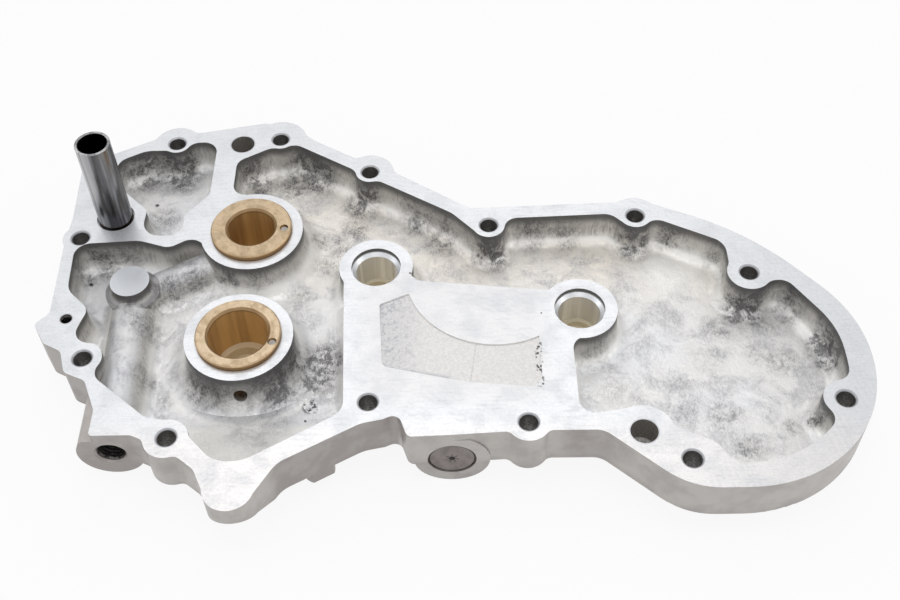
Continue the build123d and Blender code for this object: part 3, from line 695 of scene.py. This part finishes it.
class ThreadSizes(bpy.types.PropertyGroup):
    """Sizes of the cut threads."""
    supply_crest: bpy.props.FloatProperty(
        name="Supply crest radius", description="Crest radius of the oil supply thread",
        default=5.0 * MM, unit="LENGTH", precision=4)
    supply_pitch: bpy.props.FloatProperty(
        name="Supply pitch", description="Pitch of the oil supply thread",
        default=1.4 * MM, unit="LENGTH", precision=4)
    tapped_crest: bpy.props.FloatProperty(
        name="Small crest radius", description="Crest radius of the small tapped hole",
        default=2.1 * MM, unit="LENGTH", precision=4)
    tapped_pitch: bpy.props.FloatProperty(
        name="Small pitch", description="Pitch of the small tapped hole",
        default=0.8 * MM, unit="LENGTH", precision=4)


class StageSettings(bpy.types.PropertyGroup):
    """Light and floor."""
    key: bpy.props.FloatProperty(
        name="Back light", description="Power of the softbox behind the cover", default=1.65, unit="POWER")
    top: bpy.props.FloatProperty(
        name="Overhead light", description="Power of the softbox right above", default=1.9, unit="POWER")
    front: bpy.props.FloatProperty(
        name="Front light", description="Power of the softbox in front of the cover",
        default=0.7, unit="POWER")
    side: bpy.props.FloatProperty(
        name="Side lights", description="Power of each side softbox", default=1.5, unit="POWER")
    fill: bpy.props.FloatProperty(
        name="World light", description="Strength of the surrounding light", default=0.55, min=0.0)
    floor_height: bpy.props.FloatProperty(
        name="Floor height", description="Floor height under the cover",
        default=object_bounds()[0].z, unit="LENGTH")


class COVER_OT_casting(bpy.types.Operator):
    """Finish the cast cover"""
    bl_idname = "cover.casting"
    bl_label = "Casting"

    def execute(self, context):
        wear(["cover_casting"], cast_aluminium(context.scene.cover_colours))
        return {"FINISHED"}


class COVER_OT_bushes(bpy.types.Operator):
    """Finish the flanged bushes, their pins and the stud bushes"""
    bl_idname = "cover.bushes"
    bl_label = "Bushes and pins"

    def execute(self, context):
        colours = context.scene.cover_colours
        wear(["cam_shaft_bush"], bronze(
            colours, "Cam shaft bronze", CAM_CENTRE, CAM_BORE_R,
            colours.bronze_face, colours.bronze_scuff))
        wear(["pinion_shaft_bush"], bronze(
            colours, "Pinion shaft bronze", PINION_CENTRE, PINION_BORE_R,
            colours.pinion_face, colours.pinion_scuff))
        wear(["cam_bush_pin", "pinion_bush_pin"], ground_pin(colours))
        wear(["idler_stud_bush", "drive_stud_bush"], honed_metal(colours))
        return {"FINISHED"}


class COVER_OT_fittings(bpy.types.Operator):
    """Finish the breather tube and the passage plug"""
    bl_idname = "cover.fittings"
    bl_label = "Tube and plug"

    def execute(self, context):
        colours = context.scene.cover_colours
        wear(["breather_tube"], drawn_steel(colours))
        wear(["passage_plug"], staked_plug(colours))
        return {"FINISHED"}


class COVER_OT_threads(bpy.types.Operator):
    """Cut the threads of the oil supply and of the small tapped hole"""
    bl_idname = "cover.threads"
    bl_label = "Threads"

    def execute(self, context):
        sizes = context.scene.cover_threads
        metal = thread_metal(context.scene.cover_colours)
        mouth = Vector(SUPPLY_MOUTH) * MM
        cut_thread("supply_thread", mouth, Vector((0, 1, 0)), sizes.supply_crest,
                   SUPPLY_ROOT_R * MM, sizes.supply_pitch, SUPPLY_START * MM, SUPPLY_TURNS, metal)
        rim = Vector((*TAPPED_CENTRE, 0.0)) * MM
        cut_thread("small_thread", rim, Vector((0, 0, -1)), sizes.tapped_crest,
                   TAPPED_ROOT_R * MM, sizes.tapped_pitch, TAPPED_START * MM, TAPPED_TURNS, metal)
        return {"FINISHED"}


def cut_thread(name, mouth, inward, crest, root, pitch, start, turns, material):
    """Helical ridge inside a hole, from its mouth inward."""
    shape = bmesh.new()
    side = Vector((1, 0, 0))
    first = mouth + inward * start
    section = [
        first + side * root, first + side * crest + inward * pitch * CREST_FROM,
        first + side * crest + inward * pitch * CREST_TO, first + side * root + inward * pitch,
    ]
    verts = [shape.verts.new(point) for point in section]
    edges = [shape.edges.new(pair) for pair in zip(verts, verts[1:])]
    bmesh.ops.spin(
        shape, geom=verts + edges, cent=mouth, axis=inward, dvec=inward * (pitch / THREAD_STEPS),
        angle=math.tau * turns, steps=THREAD_STEPS * turns, use_merge=False, use_duplicate=False,
    )
    bmesh.ops.remove_doubles(shape, verts=shape.verts, dist=1e-6)
    for face in shape.faces:
        middle = face.calc_center_median() - mouth
        outward = middle - inward * middle.dot(inward)
        if face.normal.dot(outward) > 0:
            face.normal_flip()
        face.smooth = True
    mesh = bpy.data.meshes.new(name)
    shape.to_mesh(mesh)
    shape.free()
    mesh.materials.append(material)
    piece = bpy.data.objects.new(name, mesh)
    bpy.context.scene.collection.objects.link(piece)
    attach(piece, "root")


class COVER_OT_stage(bpy.types.Operator):
    """Set the floor, the lights, the world and the camera"""
    bl_idname = "cover.stage"
    bl_label = "Stage"

    def execute(self, context):
        settings = context.scene.cover_stage
        lay_floor(settings.floor_height)
        light_world(context.scene, settings.fill)
        # Name, place and size in metres, power and colour
        lamps = (
            ("back softbox", (0.02, 0.63, 0.95), (0.85, 0.55), settings.key, (1.0, 0.98, 0.96)),
            ("overhead softbox", (0.08, -0.05, 1.1), (0.5, 0.5), settings.top, (1.0, 1.0, 1.0)),
            ("front softbox", (0.1, -0.95, 0.6), (0.6, 0.6), settings.front, (1.0, 1.0, 1.0)),
            ("left softbox", (-0.9, 0.1, 0.55), (0.6, 0.6), settings.side, (0.96, 0.98, 1.0)),
            ("right softbox", (1.05, -0.1, 0.5), (0.6, 0.6), settings.side, (1.0, 0.99, 0.97)),
        )
        for name, place, size, power, color in lamps:
            hang_lamp(name, Vector(place), size, power, color)
        take_camera(context.scene)
        context.scene.view_settings.view_transform = "Standard"
        return {"FINISHED"}


def lay_floor(height):
    """Pale floor that is white to the camera and keeps the cover's shadow."""
    shape = bmesh.new()
    bmesh.ops.create_grid(shape, x_segments=1, y_segments=1, size=FLOOR_HALF)
    bmesh.ops.translate(shape, verts=shape.verts, vec=(0.08, 0.0, height - FLOOR_GAP))
    mesh = bpy.data.meshes.new("floor")
    shape.to_mesh(mesh)
    shape.free()
    f = Finish("Studio floor")
    pale = f.node("ShaderNodeBsdfDiffuse", {}, {"Color": PALE})
    white = f.node("ShaderNodeEmission", {}, {"Color": WHITE, "Strength": 1.0})
    surface = f.node("ShaderNodeMixShader", {}, {0: seen_directly(f) * 0.9, 1: pale, 2: white})
    f.node("ShaderNodeOutputMaterial", {}, {"Surface": surface})
    mesh.materials.append(f.material)
    floor = bpy.data.objects.new("floor", mesh)
    bpy.context.scene.collection.objects.link(floor)
    floor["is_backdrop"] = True


def seen_directly(bench):
    """1 for rays from the camera and for those that gloss and glass send on."""
    path = bench.node("ShaderNodeLightPath", {}, {}).socket.node
    camera, glossy, transmission = (
        Wire(bench, path.outputs[f"Is {kind} Ray"]) for kind in ("Camera", "Glossy", "Transmission"))
    return camera.larger(glossy).larger(transmission)


def light_world(scene, strength):
    """Even pale surroundings that are white to the camera."""
    world = bpy.data.worlds.new("studio")
    scene.world = world
    world.use_nodes = True
    w = Bench(world.node_tree)
    lit = w.node("ShaderNodeBackground", {}, {"Color": WHITE, "Strength": strength})
    white = w.node("ShaderNodeBackground", {}, {"Color": WHITE, "Strength": 1.0})
    surface = w.node("ShaderNodeMixShader", {}, {0: seen_directly(w), 1: lit, 2: white})
    w.node("ShaderNodeOutputWorld", {}, {"Surface": surface})


def hang_lamp(name, place, size, power, color):
    """Softbox aimed at the cover."""
    light = bpy.data.lights.new(name, "AREA")
    light.shape = "RECTANGLE"
    light.size, light.size_y = size
    light.energy = power
    light.color = color
    lamp = bpy.data.objects.new(name, light)
    lamp.location = place
    lamp.rotation_mode = "QUATERNION"
    lamp.rotation_quaternion = (Vector(LIGHT_AIM) - place).to_track_quat("-Z", "Y")
    bpy.context.scene.collection.objects.link(lamp)


def take_camera(scene):
    """Camera where the photograph was taken from."""
    lens = bpy.data.cameras.new("camera")
    lens.sensor_width = SENSOR_WIDTH
    lens.lens = PHOTO_FOCAL / PHOTO_WIDTH * SENSOR_WIDTH
    lens.clip_start = 0.01
    right = Vector(CAMERA_RIGHT)
    up = Vector(CAMERA_UP)
    turn = Matrix((right, up, right.cross(up))).transposed()
    camera = bpy.data.objects.new("camera", lens)
    camera.matrix_world = Matrix.Translation(CAMERA_PLACE) @ turn.to_4x4()
    scene.collection.objects.link(camera)
    scene.camera = camera


class COVER_PT_panel(bpy.types.Panel):
    """Cam cover finishes"""
    bl_label = "Cam Cover"
    bl_idname = "COVER_PT_panel"
    bl_space_type = "VIEW_3D"
    bl_region_type = "UI"
    bl_category = "Cam Cover"

    def draw(self, context):
        scene = context.scene
        for operator in STEPS:
            self.layout.operator(operator.bl_idname)
        for settings in (scene.cover_colours, scene.cover_threads, scene.cover_stage):
            for name in settings.__annotations__:
                self.layout.prop(settings, name)


STEPS = (COVER_OT_casting, COVER_OT_bushes, COVER_OT_fittings, COVER_OT_threads, COVER_OT_stage)
CLASSES = (CoverColours, ThreadSizes, StageSettings) + STEPS + (COVER_PT_panel,)


def register():
    for cls in CLASSES:
        bpy.utils.register_class(cls)
    bpy.types.Scene.cover_colours = bpy.props.PointerProperty(type=CoverColours)
    bpy.types.Scene.cover_threads = bpy.props.PointerProperty(type=ThreadSizes)
    bpy.types.Scene.cover_stage = bpy.props.PointerProperty(type=StageSettings)


def unregister():
    del bpy.types.Scene.cover_stage
    del bpy.types.Scene.cover_threads
    del bpy.types.Scene.cover_colours
    for cls in reversed(CLASSES):
        bpy.utils.unregister_class(cls)


def main():
    register()
    bpy.ops.cover.casting()
    bpy.ops.cover.bushes()
    bpy.ops.cover.fittings()
    bpy.ops.cover.threads()
    bpy.ops.cover.stage()


if __name__ == "__main__":
    main()
